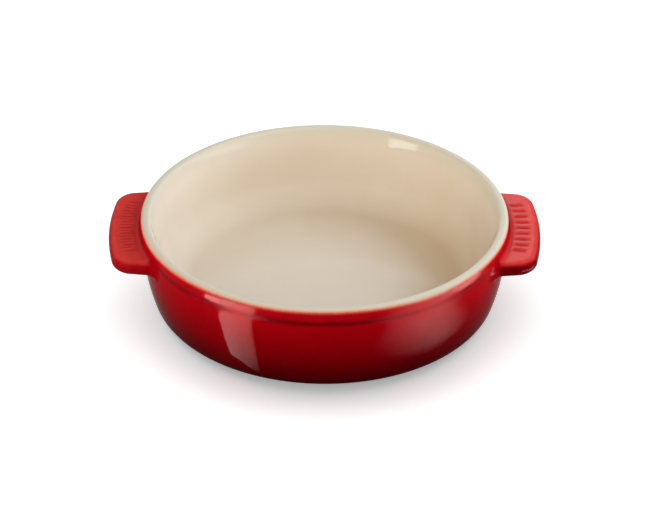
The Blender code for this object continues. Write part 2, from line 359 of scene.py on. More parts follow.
# Rings of points from the mouth in the wall out over the right handle, and the grid that closes its end
def handlePatch(mouth, across, down):
    ringSize = len(mouth)
    shares = np.concatenate([
        np.stack([np.linspace(-1, 1, across + 1), np.zeros(across + 1)], 1),
        np.stack([np.ones(down - 1), np.arange(1, down) / down], 1),
        np.stack([np.linspace(1, -1, across + 1), np.ones(across + 1)], 1),
        np.stack([-np.ones(down - 1), np.arange(down - 1, 0, -1) / down], 1),
    ])
    lean = redCoat["rounding"] * (1 - math.sqrt(0.5))
    halfEnd = redCoat["thickness"] / 2 - lean
    endHeights = plateMiddle + (1 - 2 * shares[:, 1]) * halfEnd
    endRing = np.column_stack([plateEdge(shares[:, 0], lean), endHeights])
    outward = redCoat["outwardRows"]
    rings = [mouth + (endRing - mouth) * k / outward for k in range(1, outward + 1)]
    f, g = np.meshgrid(np.linspace(-1, 1, across + 1)[1:-1], np.arange(1, down) / down)
    end = np.column_stack([plateEdge(f.ravel(), 0.0), plateMiddle + (1 - 2 * g.ravel()) * halfEnd])
    points = np.vstack([mouth] + rings + [end])

    here = np.arange(ringSize)
    beside = (here + 1) % ringSize
    quads = [np.stack([here + k * ringSize, here + (k + 1) * ringSize,
                       beside + (k + 1) * ringSize, beside + k * ringSize], 1) for k in range(outward)]
    last = outward * ringSize
    index = np.empty((down + 1, across + 1), dtype=int)
    index[0] = last + np.arange(across + 1)
    index[1:down, across] = last + across + np.arange(1, down)
    index[down] = last + across + down + np.arange(across, -1, -1)
    index[1:down, 0] = last + ringSize - np.arange(1, down)
    inner = np.arange((down - 1) * (across - 1)).reshape(down - 1, across - 1)
    index[1:down, 1:across] = last + ringSize + inner
    grid = np.stack([index[:-1, :-1], index[1:, :-1], index[1:, 1:], index[:-1, 1:]], -1)
    quads.append(grid.reshape(-1, 4))
    quads = np.vstack(quads)

    # Even out the mesh while it stays on the clay; the mouth doesn't move
    sides = np.vstack([quads[:, [0, 1]], quads[:, [1, 2]], quads[:, [2, 3]], quads[:, [3, 0]]])
    count = np.zeros(len(points))
    np.add.at(count, sides[:, 0], 1)
    np.add.at(count, sides[:, 1], 1)
    free = np.arange(len(points)) >= ringSize
    points[free] = settle(points[free], settling["before"])
    for _ in range(settling["between"]):
        total = np.zeros_like(points)
        np.add.at(total, sides[:, 0], points[sides[:, 1]])
        np.add.at(total, sides[:, 1], points[sides[:, 0]])
        points[free] += settling["evenShare"] * (total[free] / count[free, None] - points[free])
        points[free] = settle(points[free], 1)
    points[free] = settle(points[free], settling["after"])
    return points, quads


# Soft raised bars on the top of the right handle, each pointing at the middle of the dish
def ribShare(points):
    radius = np.hypot(points[:, 0], points[:, 1])
    middle = redCoat["reach"] - gripRibs["edgeGap"] - gripRibs["length"] / 2
    pitch = gripRibs["pitch"] / middle
    half = (gripRibs["count"] - 1) / 2
    turn = np.arctan2(points[:, 1], points[:, 0])
    nearest = np.clip(np.round(turn / pitch), -half, half) * pitch
    inWidth = gripRibs["width"] / 2 - np.abs(turn - nearest) * radius
    inLength = gripRibs["length"] / 2 - np.abs(radius - middle)
    soft = smooth(np.clip(np.stack([inWidth, inLength]) / gripRibs["softEdge"], 0, 1))
    return soft[0] * soft[1] * (points[:, 2] > plateMiddle)


# Painted shade: the handles' sides below their tops are painted darker than the tops, where less light falls
def sideShadeShare(points):
    drop = (top - redCoat["topDepth"] - points[:, 2]) / redCoat["shadeDrop"]
    past = (np.hypot(points[:, 0], points[:, 1]) - dish["rimRadius"]) / redCoat["shadeReach"]
    soft = smooth(np.clip(np.stack([drop, past]), 0, 1))
    return soft[0] * soft[1]


def makeRedCoat():
    level = outsideLength(redCoat["levelDepth"])
    share = np.linspace(0.0, 1.0, redCoat["edgeRows"], endpoint=False)
    upper = edgeLength[:, None] + (level - edgeLength[:, None]) * share
    lower = np.linspace(level, glazedLength[-1], round((glazedLength[-1] - level) / redCoat["rowStep"]))
    lengths = np.hstack([upper, np.tile(lower, (len(angles), 1))])
    radius, height = profileAt(lengths)
    rows = lengths.shape[1]
    points = turnedPoints(angles[:, None], radius, height).reshape(-1, 3)
    faces = turnedFaces(len(angles), rows)

    # Open the wall for both handles
    topRow = int(np.argmin(np.abs(height[0] - top + redCoat["handleTop"])))
    bottomRow = int(np.argmin(np.abs(height[0] - top + redCoat["handleBottom"])))
    across = columns["perHandle"]
    down = bottomRow - topRow
    keep = np.ones(faces.shape[:2], dtype=bool)
    for first in (0, across + columns["between"]):
        keep[first:first + across, topRow:bottomRow] = False
    mouthIndex = np.concatenate([
        np.arange(across + 1) * rows + topRow,
        across * rows + np.arange(topRow + 1, bottomRow),
        np.arange(across, -1, -1) * rows + bottomRow,
        np.arange(bottomRow - 1, topRow, -1),
    ])
    patch, quads = handlePatch(points[mouthIndex], across, down)
    rib = ribShare(patch)
    side = sideShadeShare(patch)
    patch[:, 2] += gripRibs["height"] * rib
    turned = len(points)
    ringSize = len(mouthIndex)
    oppositeMouth = (mouthIndex + (across + columns["between"]) * rows) % turned
    everything = [points]
    ribbed = [np.zeros(turned)]
    shaded = [np.zeros(turned)]
    allFaces = [faces[keep]]
    for mouth, flip, shade in ((mouthIndex, 1.0, 1.0), (oppositeMouth, -1.0, redCoat["shadeLeft"])):
        numbers = np.concatenate([mouth, sum(map(len, everything)) + np.arange(len(patch) - ringSize)])
        everything.append(patch[ringSize:] * (flip, flip, 1.0))
        ribbed.append(rib[ringSize:])
        shaded.append(shade * side[ringSize:])
        allFaces.append(numbers[quads])
    everything = np.vstack(everything)
    fromEdge = np.full(len(everything), farFromEdge)
    fromEdge[:turned] = (lengths - edgeLength[:, None]).reshape(-1)
    groove = np.zeros(len(everything))
    depth = top - everything[:turned, 2]
    groove[:turned] = np.exp(-((depth - redCoat["grooveDepth"]) / redCoat["grooveWidth"]) ** 2)
    layers = {
        "fromEdge": fromEdge,
        "rib": np.concatenate(ribbed),
        "groove": groove,
        "side": np.concatenate(shaded),
    }
    return meshObject("redGlazedOutside", everything, np.vstack(allFaces), layers=layers)


# Turned from a path; the ends that are named get a flat cap
def turnedPiece(name, path, columnCount, capped):
    turn = np.linspace(0, 2 * math.pi, columnCount, endpoint=False)[:, None]
    points = turnedPoints(turn, path[None, :, 0], path[None, :, 1] + 0 * turn).reshape(-1, 3)
    first = np.arange(columnCount) * len(path)
    caps = {"start": first, "end": (first + len(path) - 1)[::-1]}
    quads = turnedFaces(columnCount, len(path)).reshape(-1, 4)
    layers = {"fromEdge": np.full(len(points), farFromEdge)}
    return meshObject(name, points, quads, [caps[end] for end in capped], layers)


clayCore = {"belowGlaze": 0.7, "ringRounding": 0.45, "capRadius": 6.0, "columns": 288}


def makeClayCore():
    tangent = np.gradient(glazedPath, glazedLength, axis=0)
    tangent /= np.hypot(*tangent.T)[:, None]
    inside = glazedPath + np.stack([tangent[:, 1], -tangent[:, 0]], 1) * clayCore["belowGlaze"]
    inside[0, 0] = clayCore["capRadius"]
    outer = dish["footRadius"]
    inner = outer - dish["footWidth"]
    ceiling = dish["recessHeight"] + clayCore["belowGlaze"]
    ring = roundedPath([
        (outer, dish["footHeight"] + clayCore["belowGlaze"], 0.0),
        (outer, 0.0, clayCore["ringRounding"]),
        (inner, 0.0, clayCore["ringRounding"]),
        (inner, ceiling, clayCore["ringRounding"]),
        (clayCore["capRadius"], ceiling, 0.0),
    ])
    path = np.vstack([inside[:-1], ring])
    return turnedPiece("firedClay", path, clayCore["columns"], ("start", "end"))


# "glazeRise" is how far the coat turns down the foot ring, clear of it by "gap"
footRecess = {"glazeRise": 0.6, "gap": 0.02, "lean": 0.4, "rounding": 0.8}


def makeFootRecess():
    wall = dish["footRadius"] - dish["footWidth"] - footRecess["gap"]
    low = dish["recessHeight"] - footRecess["glazeRise"]
    path = roundedPath([
        (wall, low, 0.0),
        (wall - footRecess["lean"], dish["recessHeight"], footRecess["rounding"]),
        (clayCore["capRadius"], dish["recessHeight"], 0.0),
    ])
    return turnedPiece("redGlazedRecess", path, clayCore["columns"], ("end",))


# An sRGB hex colour as the linear one that nodes and lamps take
def linear(hexColour):
    parts = [int(hexColour[i:i + 2], 16) / 255 for i in (1, 3, 5)]
    return [p / 12.92 if p <= 0.04045 else ((p + 0.055) / 1.055) ** 2.4 for p in parts] + [1.0]


# Adds one node: settings are its properties, inputs are values or the sockets that feed it
def addNode(tree, kind, inputs=None, **settings):
    made = tree.nodes.new(kind)
    for name, value in settings.items():
        setattr(made, name, value)
    for name, value in (inputs or {}).items():
        if isinstance(value, bpy.types.NodeSocket):
            tree.links.new(value, made.inputs[name])
        else:
            made.inputs[name].default_value = value
    return made


def fillRamp(ramp, stops):
    elements = ramp.color_ramp.elements
    while len(elements) < len(stops):
        elements.new(0.5)
    for element, (place, colour) in zip(elements, stops):
        element.position = place
        element.color = linear(colour)


def newMaterial(name):
    material = bpy.data.materials.new(name)
    material.use_nodes = True
    tree = material.node_tree
    return material, tree, tree.nodes["Principled BSDF"]


noiseRange = {"From Min": 0.3, "From Max": 0.7}  # what a noise texture mostly gives
noiseMiddle = {"From Min": 0.35, "From Max": 0.65}  # a little more contrast

# Cream and red melt into each other over about two millimetres, by way of a thin orange brown
meltBand = {
    "from": -1.5,  # millimetres from the colour edge
    "to": 2.5,
    "raggedLength": 2.381,
    "raggedReach": 0.4,
    "colours": [(0.10, "#d8d3bf"), (0.27, "#e0bfa6"), (0.38, "#e0957c"), (0.50, "#cc5242"), (0.68, "#bc1a1e")],
    "overCream": (0.06, 0.14),  # where, in shares of the band, it takes over from the cream
    "overRed": (0.52, 0.76),  # and where it goes over into the red
}


# The colour over the melting edge, and how far a place is across it
def meltColour(tree):
    fromEdge = addNode(tree, "ShaderNodeAttribute", attribute_name="fromEdge")
    spot = addNode(tree, "ShaderNodeTexCoord")
    ragged = addNode(tree, "ShaderNodeTexNoise", {
        "Vector": spot.outputs["Object"], "Scale": 1 / (meltBand["raggedLength"] * mm), "Detail": 3.0})
    wander = addNode(tree, "ShaderNodeMath", {0: ragged.outputs["Fac"], 1: 0.5}, operation="SUBTRACT")
    moved = addNode(tree, "ShaderNodeMath", {
        0: wander.outputs[0], 1: meltBand["raggedReach"], 2: fromEdge.outputs["Fac"]}, operation="MULTIPLY_ADD")
    place = addNode(tree, "ShaderNodeMapRange",
                    {"Value": moved.outputs[0], "From Min": meltBand["from"], "From Max": meltBand["to"]})
    ramp = addNode(tree, "ShaderNodeValToRGB", {"Fac": place.outputs[0]})
    fillRamp(ramp, meltBand["colours"])
    return ramp.outputs["Color"], place.outputs[0]


# A fired glaze: clear glass over colour, level to the touch but with a slow wave and a fine orange peel
glazeSkin = {
    "roughness": 0.07,
    "roughnessSpread": 0.03,
    "cloudLength": 11.11,
    "waveLength": 9.0,
    "waveHeight": 0.006,
    "peelLength": 1.3,
    "peelHeight": 0.0012,
}


# Bumps the shader's normal, and gives back the roughness, which differs a little from place to place
def addGlazeSkin(tree, shader):
    spot = addNode(tree, "ShaderNodeTexCoord")
    wave = addNode(tree, "ShaderNodeTexNoise",
                   {"Vector": spot.outputs["Object"], "Scale": 1 / (glazeSkin["waveLength"] * mm), "Detail": 1.0})
    peel = addNode(tree, "ShaderNodeTexNoise",
                   {"Vector": spot.outputs["Object"], "Scale": 1 / (glazeSkin["peelLength"] * mm), "Detail": 2.0})
    first = addNode(tree, "ShaderNodeBump",
                    {"Height": wave.outputs["Fac"], "Strength": 1.0, "Distance": glazeSkin["waveHeight"] * mm})
    second = addNode(tree, "ShaderNodeBump", {
        "Height": peel.outputs["Fac"], "Normal": first.outputs["Normal"],
        "Strength": 1.0, "Distance": glazeSkin["peelHeight"] * mm})
    tree.links.new(second.outputs["Normal"], shader.inputs["Normal"])
    cloud = addNode(tree, "ShaderNodeTexNoise", {
        "Vector": spot.outputs["Object"], "Scale": 1 / (glazeSkin["cloudLength"] * mm), "Detail": 4.0})
    rough = addNode(tree, "ShaderNodeMapRange", {
        "Value": cloud.outputs["Fac"], **noiseRange,
        "To Min": glazeSkin["roughness"] - glazeSkin["roughnessSpread"] / 2,
        "To Max": glazeSkin["roughness"] + glazeSkin["roughnessSpread"] / 2})
    return rough.outputs[0]


# Cream glaze on stoneware, dipped: warm off-white, a little thinner and cooler where it turns over the lip.
# Its lengths are in millimetres from where the lip turns outwards, negative on the inside.
creamLook = {
    "body": "#e4d9c7",
    "pale": "#e8dfcf",
    "poolAndShade": "#d2b488",  # thicker and warmer where it gathers in the corner round the floor, and painted shade there
    "poolAndShadeShare": 0.75,
    "poolAndShadeTop": -18.0,
    "poolAndShadeMiddle": -38.0,
    "poolAndShadeEnd": -68.0,
    "shadeLean": (10.0, 62.0),  # painted shade: the corner grows darker from the first x to the second, towards the right, where shade falls
    "shadeLeanLeast": 0.2,
    "thin": "#d8d3bf",
    "thinFrom": -8.0,
    "thinTo": 0.5,
    "cloudLength": 16.0,
    "cloudShare": 0.5,
    "ior": 1.4,
}


def creamGlazedStoneware():
    material, tree, shader = newMaterial("creamGlazedStoneware")
    tree.links.new(addGlazeSkin(tree, shader), shader.inputs["Roughness"])
    spot = addNode(tree, "ShaderNodeTexCoord")
    cloud = addNode(tree, "ShaderNodeTexNoise", {
        "Vector": spot.outputs["Object"], "Scale": 1 / (creamLook["cloudLength"] * mm), "Detail": 5.0})
    drift = addNode(tree, "ShaderNodeMapRange",
                    {"Value": cloud.outputs["Fac"], **noiseMiddle, "To Max": creamLook["cloudShare"]})
    body = addNode(tree, "ShaderNodeMix", {"Factor": drift.outputs[0], "A": linear(creamLook["body"]),
                                           "B": linear(creamLook["pale"])}, data_type="RGBA")
    fromLip = addNode(tree, "ShaderNodeAttribute", attribute_name="fromLip")
    # Gathered glaze and painted shade: the corner round the floor is painted warmer and darker, most on the right
    down = addNode(tree, "ShaderNodeMapRange", {
        "Value": fromLip.outputs["Fac"], "From Min": creamLook["poolAndShadeTop"], "From Max": creamLook["poolAndShadeMiddle"],
        "To Max": creamLook["poolAndShadeShare"]}, interpolation_type="SMOOTHSTEP")
    inward = addNode(tree, "ShaderNodeMapRange", {
        "Value": fromLip.outputs["Fac"], "From Min": creamLook["poolAndShadeEnd"], "From Max": creamLook["poolAndShadeMiddle"]},
        interpolation_type="SMOOTHSTEP")
    parts = addNode(tree, "ShaderNodeSeparateXYZ", {"Vector": spot.outputs["Object"]})
    level, low = creamLook["shadeLean"]
    lean = addNode(tree, "ShaderNodeMapRange", {
        "Value": parts.outputs["X"], "From Min": level * mm, "From Max": low * mm,
        "To Min": creamLook["shadeLeanLeast"]})
    poolAndShade = addNode(tree, "ShaderNodeMath", {0: down.outputs[0], 1: inward.outputs[0]}, operation="MULTIPLY")
    poolAndShade = addNode(tree, "ShaderNodeMath", {0: poolAndShade.outputs[0], 1: lean.outputs[0]}, operation="MULTIPLY")
    body = addNode(tree, "ShaderNodeMix", {"Factor": poolAndShade.outputs[0], "A": body.outputs["Result"],
                                           "B": linear(creamLook["poolAndShade"])}, data_type="RGBA")
    thin = addNode(tree, "ShaderNodeMapRange", {"Value": fromLip.outputs["Fac"], "From Min": creamLook["thinFrom"],
                                                "From Max": creamLook["thinTo"]})
    lip = addNode(tree, "ShaderNodeMix", {"Factor": thin.outputs[0], "A": body.outputs["Result"],
                                          "B": linear(creamLook["thin"])}, data_type="RGBA")
    melt, place = meltColour(tree)
    start, end = meltBand["overCream"]
    inMelt = addNode(tree, "ShaderNodeMapRange", {"Value": place, "From Min": start, "From Max": end})
    colour = addNode(tree, "ShaderNodeMix", {"Factor": inMelt.outputs[0], "A": lip.outputs["Result"], "B": melt},
                     data_type="RGBA")
    tree.links.new(colour.outputs["Result"], shader.inputs["Base Color"])
    shader.inputs["IOR"].default_value = creamLook["ior"]
    return material


# Red glaze on stoneware: scarlet at the rim, darker towards the foot.
# It breaks to a paler red over edges, and is painted darker in hollows, where it pools and where shade falls.
redLook = {
    "heights": [(1.0, "#380003"), (9.0, "#5c0005"), (20.0, "#880008"), (31.0, "#a6020e"), (39.0, "#b60817")],
    "rampTop": 40.0,
    "sway": 4.0,  # how much higher or lower the tones lie from place to place
    "swayLength": 16.67,
    "paintedTopLight": "#e24842",  # painted light: what looks up is painted lighter
    "paintedTopLightFrom": 0.5,  # how steeply up, 1 being level
    "paintedTopLightShare": 0.75,
    "edge": "#d43430",
    "edgeFrom": 0.5,  # how sharp, on the scale of addThinness
    "edgeShare": 0.2,
    "ribShare": 1.0,
    "poolAndShade": "#4a0005",
    "poolAndShadeFrom": -0.1,
    "poolAndShadeShare": 0.5,
    "grooveShare": 0.7,
    "grooveRoughness": 0.35,
    # painted shade on the handles' sides
    "side": "#4a0003",
    "sideShadeShare": 0.75,
    "mottleLength": 5.0,
    "mottleSpread": 0.06,
    "ior": 1.045,  # well below glass, or the white surroundings would veil the red
    "tint": (1.0, 0.5, 0.47),  # its mirror images are reddish, as under a deep red glass
}


def redGlazedStoneware():
    material, tree, shader = newMaterial("redGlazedStoneware")
    roughness = addGlazeSkin(tree, shader)
    spot = addNode(tree, "ShaderNodeTexCoord")
    parts = addNode(tree, "ShaderNodeSeparateXYZ", {"Vector": spot.outputs["Object"]})
    spread = addNode(tree, "ShaderNodeTexNoise", {
        "Vector": spot.outputs["Object"], "Scale": 1 / (redLook["swayLength"] * mm), "Detail": 3.0})
    sway = addNode(tree, "ShaderNodeMath", {
        0: spread.outputs["Fac"], 1: redLook["sway"] * mm, 2: parts.outputs["Z"]}, operation="MULTIPLY_ADD")
    low, high = redLook["sway"] / 2, redLook["sway"] / 2 + redLook["rampTop"]
    height = addNode(tree, "ShaderNodeMapRange",
                     {"Value": sway.outputs[0], "From Min": low * mm, "From Max": high * mm})
    ramp = addNode(tree, "ShaderNodeValToRGB", {"Fac": height.outputs[0]})
    fillRamp(ramp, [(place / redLook["rampTop"], colour) for place, colour in redLook["heights"]])
    sharp = addNode(tree, "ShaderNodeAttribute", attribute_name="thinness")
    rib = addNode(tree, "ShaderNodeAttribute", attribute_name="rib")
    thin = addNode(tree, "ShaderNodeMath", {
        0: rib.outputs["Fac"], 1: redLook["ribShare"], 2: sharp.outputs["Fac"]}, operation="MULTIPLY_ADD")
    surface = addNode(tree, "ShaderNodeNewGeometry")
    facing = addNode(tree, "ShaderNodeSeparateXYZ", {"Vector": surface.outputs["Normal"]})
    # Painted light: faces that look up, chiefly the handles' tops, are painted lighter
    level = addNode(tree, "ShaderNodeMapRange", {
        "Value": facing.outputs["Z"], "From Min": redLook["paintedTopLightFrom"], "From Max": 1.0,
        "To Max": redLook["paintedTopLightShare"]}, interpolation_type="SMOOTHSTEP")
    paintedTopLight = addNode(tree, "ShaderNodeMix", {"Factor": level.outputs[0], "A": ramp.outputs["Color"],
                                             "B": linear(redLook["paintedTopLight"])}, data_type="RGBA")
    edge = addNode(tree, "ShaderNodeMapRange", {"Value": thin.outputs[0], "From Min": redLook["edgeFrom"],
                                                "From Max": 1.0, "To Max": redLook["edgeShare"]})
    overEdge = addNode(tree, "ShaderNodeMix", {"Factor": edge.outputs[0], "A": paintedTopLight.outputs["Result"],
                                               "B": linear(redLook["edge"])}, data_type="RGBA")
    # Gathered glaze and painted shade: hollows and the groove under the band are painted darker
    poolAndShade = addNode(tree, "ShaderNodeMapRange", {
        "Value": sharp.outputs["Fac"], "From Min": redLook["poolAndShadeFrom"], "From Max": -1.0,
        "To Max": redLook["poolAndShadeShare"]})
    groove = addNode(tree, "ShaderNodeAttribute", attribute_name="groove")
    pooledAndShaded = addNode(tree, "ShaderNodeMath", {
        0: groove.outputs["Fac"], 1: redLook["grooveShare"], 2: poolAndShade.outputs[0]},
        operation="MULTIPLY_ADD", use_clamp=True)
    inPool = addNode(tree, "ShaderNodeMix", {"Factor": pooledAndShaded.outputs[0], "A": overEdge.outputs["Result"],
                                             "B": linear(redLook["poolAndShade"])}, data_type="RGBA")
    # Painted shade: the handles' sides are painted darker
    side = addNode(tree, "ShaderNodeAttribute", attribute_name="side")
    dark = addNode(tree, "ShaderNodeMath", {0: side.outputs["Fac"], 1: redLook["sideShadeShare"]},
                   operation="MULTIPLY")
    onSide = addNode(tree, "ShaderNodeMix", {"Factor": dark.outputs[0], "A": inPool.outputs["Result"],
                                             "B": linear(redLook["side"])}, data_type="RGBA")
    mottle = addNode(tree, "ShaderNodeTexNoise", {
        "Vector": spot.outputs["Object"], "Scale": 1 / (redLook["mottleLength"] * mm), "Detail": 4.0})
    value = addNode(tree, "ShaderNodeMapRange", {
        "Value": mottle.outputs["Fac"], **noiseRange,
        "To Min": 1 - redLook["mottleSpread"], "To Max": 1 + redLook["mottleSpread"]})
    mottled = addNode(tree, "ShaderNodeHueSaturation",
                      {"Color": onSide.outputs["Result"], "Value": value.outputs[0]})
    melt, place = meltColour(tree)
    start, end = meltBand["overRed"]
    inRed = addNode(tree, "ShaderNodeMapRange", {"Value": place, "From Min": start, "From Max": end})
    colour = addNode(tree, "ShaderNodeMix", {"Factor": inRed.outputs[0], "A": melt, "B": mottled.outputs["Color"]},
                     data_type="RGBA")
    tree.links.new(colour.outputs["Result"], shader.inputs["Base Color"])
    dulled = addNode(tree, "ShaderNodeMath", {
        0: groove.outputs["Fac"], 1: redLook["grooveRoughness"], 2: roughness},
        operation="MULTIPLY_ADD", use_clamp=True)
    tree.links.new(dulled.outputs[0], shader.inputs["Roughness"])
    shader.inputs["IOR"].default_value = redLook["ior"]
    shader.inputs["Specular Tint"].default_value = (*redLook["tint"], 1.0)
    return material


# Fired stoneware clay, bare: buff, matt and sandy, with fine iron specks. Its grain, of about a third of a
# millimetre, and its specks are drawn coarser than they are, so that they show.
clayLook = {
    "clay": "#d8c3a0",
    "sand": "#bfa47c",
    "speck": "#6d4a30",
    "grainLength": 1.4,
    "grainHeight": 0.05,
    "grainStrength": 0.8,
    "speckPitch": 1.8,
    "speckEdge": (0.16, 0.10),  # shares of the pitch over which a speck comes in
    "roughness": 0.82,
}


def bareStoneware():
    material, tree, shader = newMaterial("bareStoneware")
    spot = addNode(tree, "ShaderNodeTexCoord")
    grain = addNode(tree, "ShaderNodeTexNoise", {
        "Vector": spot.outputs["Object"], "Scale": 1 / (clayLook["grainLength"] * mm), "Detail": 6.0})
    share = addNode(tree, "ShaderNodeMapRange", {"Value": grain.outputs["Fac"], **noiseMiddle})
    clay = addNode(tree, "ShaderNodeMix", {"Factor": share.outputs[0], "A": linear(clayLook["clay"]),
                                           "B": linear(clayLook["sand"])}, data_type="RGBA")
    cells = addNode(tree, "ShaderNodeTexVoronoi",
                    {"Vector": spot.outputs["Object"], "Scale": 1 / (clayLook["speckPitch"] * mm)})
    outer, inner = clayLook["speckEdge"]
    speck = addNode(tree, "ShaderNodeMapRange",
                    {"Value": cells.outputs["Distance"], "From Min": outer, "From Max": inner})
    colour = addNode(tree, "ShaderNodeMix", {"Factor": speck.outputs[0], "A": clay.outputs["Result"],
                                             "B": linear(clayLook["speck"])}, data_type="RGBA")
    tree.links.new(colour.outputs["Result"], shader.inputs["Base Color"])
    bump = addNode(tree, "ShaderNodeBump", {
        "Height": grain.outputs["Fac"], "Strength": clayLook["grainStrength"],
        "Distance": clayLook["grainHeight"] * mm})
    tree.links.new(bump.outputs["Normal"], shader.inputs["Normal"])
    shader.inputs["Roughness"].default_value = clayLook["roughness"]
    return material


# Fitted to the outlines in the photograph
camera = {
    "elevation": 30.685,
    "distance": 1797.0,
    "focalPixels": 4727.9,
    "imageWidth": 650,
    "imageHeight": 508,
    "aimHeight": 39.4,
    "aimAt": (324.62, 213.38),  # pixel of the point on the axis at that height
    "roll": 0.197,
    "sensorWidth": 36.0,
    "nearest": 100.0,
}


def makeCamera():
    elevation = math.radians(camera["elevation"])
    aim = Vector((0, 0, camera["aimHeight"] * mm))
    away = Vector((0, -math.cos(elevation), math.sin(elevation)))
    data = bpy.data.cameras.new("camera")
    data.sensor_width = camera["sensorWidth"]
    data.lens = camera["focalPixels"] * data.sensor_width / camera["imageWidth"]
    data.clip_start = camera["nearest"] * mm
    eye = bpy.data.objects.new("camera", data)
    bpy.context.scene.collection.objects.link(eye)
    turn = (-away).to_track_quat("-Z", "Y").to_matrix()
    turn = turn @ Matrix.Rotation(math.radians(camera["roll"]), 3, "Z")
    right = (camera["aimAt"][0] - camera["imageWidth"] / 2) / camera["focalPixels"]
    up = (camera["imageHeight"] / 2 - camera["aimAt"][1]) / camera["focalPixels"]
    turn = turn @ Matrix.Rotation(-math.atan(up), 3, "X") @ Matrix.Rotation(math.atan(right), 3, "Y")
    eye.matrix_world = Matrix.Translation(aim + away * camera["distance"] * mm) @ turn.to_4x4()
    bpy.context.scene.camera = eye


# The camera and mirrored rays see the floor as white paper. Rays that only gather soft light see "bounce", so that
# the foot stays in shade. "lift" is light that only the camera gets from the floor, which leaves the close shadow.
studio = {
    "floorSize": 6000.0,
    "floorDrop": 0.05,  # so that the foot ring and the floor don't lie in one plane
    "floor": "#fbfbfb",
    "bounce": "#8f8f8f",
    "lift": 0.34,
    "dome": 0.36,
    "aim": (0, 0, 20),  # what the lamps point at
}
groups = {"dish": [], "red": [], "cream": [], "turned": [], "floor": []}  # what a lamp is flagged to

# Soft lamps that don't show in the glaze. "on" is what a lamp lights. The two overhead light only the floor,
# and "shadedBy" says what throws their shadow: the turned pieces, not the handles.
lamps = {
    "overLeft": {"at": (-480, 300, 1150), "size": (1100, 1300), "watts": 7.5, "on": "floor", "shadedBy": "turned"},
    "overRight": {"at": (480, 300, 1150), "size": (1100, 1300), "watts": 7.5, "on": "floor", "shadedBy": "turned"},
    "keyRight": {"at": (560, 250, 360), "size": (450, 450), "watts": 3.6, "on": "dish", "colour": "#eef3ff"},
    "fillLeft": {"at": (-1000, -270, 500), "size": (900, 700), "watts": 2.2, "on": "dish", "colour": "#ffdcb4"},
    "fillFront": {"at": (0, -1100, 760), "size": (1200, 600), "watts": 5.5, "on": "dish", "colour": "#fff1e0"},
    "fillInside": {"at": (0, -1200, 430), "size": (900, 300), "watts": 1.6, "on": "cream", "colour": "#fff4e6"},
    "fillBellyLeft": {"at": (-1100, -260, 200), "size": (500, 400), "watts": 3.4, "on": "red"},
    "fillBellyRight": {"at": (1100, -260, 200), "size": (500, 400), "watts": 4.0, "on": "red"},
}
# These show in the glaze too
softboxes = {
    "stripLeft": {"at": (-559, -421, 92), "size": (250, 150), "watts": 0.7, "on": "dish"},
    "softRight": {"at": (676, -181, 95), "size": (560, 150), "watts": 0.5, "on": "dish"},
}
# Lights that only show in the red glaze: one gives the left handle's edges a gleam, and one behind the dish
# lies softly over the top of the right handle.
glints = {
    "glintLeft": {"at": (-651, -346, 516), "size": (300, 900), "watts": 60.0, "on": "red"},
    "sheenRight": {"at": (140, 870, 560), "size": (260, 200), "watts": 3.2, "on": "red"},
}
# Panels flat on the floor that only show in the red glaze, as mirror images of the softboxes. A panel starts at
# its near end and runs the way of "turn"; "dim" is where along it the light comes in and is full.
# "sides": for each long side, how far across it is at the near end, how far along it runs, and how far across
# it is there.
# "radii" and "turns": the ring and the sector about the dish's axis that are lit, and how softly they end.
# "faces" and "beam": as behind a grid, it is dark and full at these angles from the way it faces.
# The panels for the band lie higher, or those for the belly would hide them.
panelLight = {"colour": "#ffeae6", "on": "red"}
panels = {
    "bellyLeft": {
        "at": (-61, -84, 0.6), "size": (80, 70), "turn": 199.5, "softEdge": 0.08, "dim": (0, 45),
        "sides": ((9.5, 16, 18.5), (9.5, 80, -28.5)), "radii": (-112, 112, 1.5), "turns": (-138.5, 180, 1.5),
        "faces": (0.65, 0.33, 0.68), "beam": (29, 22), "watts": 3.0,
    },
    "bandLeft": {
        "at": (-87, -88, 1.2), "size": (70, 44), "turn": -43.4, "softEdge": 0.02, "dim": (-1, 0),
        "sides": ((22, 70, 22), (-22, 70, -22)), "radii": (114, 134, 2), "turns": (-147, -122, 1.5),
        "faces": (0.73, 0.41, 0.54), "beam": (26, 18), "watts": 2.9,
    },
    "bellyRight": {
        "at": (45.2, -50.2, 0.6), "size": (135, 144), "turn": -48.0, "softEdge": 1.0, "dim": (72, 125),
        "sides": ((0, 135, 72), (0, 135, -72)), "radii": (-110, 110, 4), "turns": (-180, 180, 1),
        "faces": (-0.70, 0.10, 0.70), "beam": (36, 27), "watts": 11.0,
    },
    "bandRight": {
        "at": (97, -35, 1.2), "size": (180, 90), "turn": 90.0, "softEdge": 0.02, "dim": (-1, 0),
        "sides": ((45, 180, 45), (-45, 180, -45)), "radii": (112, 136, 6), "turns": (-60, -10, 24),
        "faces": (-0.82, 0.15, 0.55), "beam": (36, 27), "watts": 5.1,
    },
    "bellyBehind": {
        "at": (61, 84, 0.6), "size": (80, 70), "turn": 19.5, "softEdge": 0.08, "dim": (0, 45),
        "sides": ((9.5, 16, 18.5), (9.5, 80, -28.5)), "radii": (-112, 112, 1.5), "turns": (-180, 180, 1),
        "faces": (-0.65, -0.33, 0.68), "beam": (29, 22), "watts": 3.0,
    },
    "bandBehind": {
        "at": (87, 88, 1.2), "size": (70, 44), "turn": 136.6, "softEdge": 0.02, "dim": (-1, 0),
        "sides": ((22, 70, 22), (-22, 70, -22)), "radii": (114, 134, 2), "turns": (33, 58, 1.5),
        "faces": (-0.73, -0.41, 0.54), "beam": (26, 18), "watts": 2.9,
    },
}


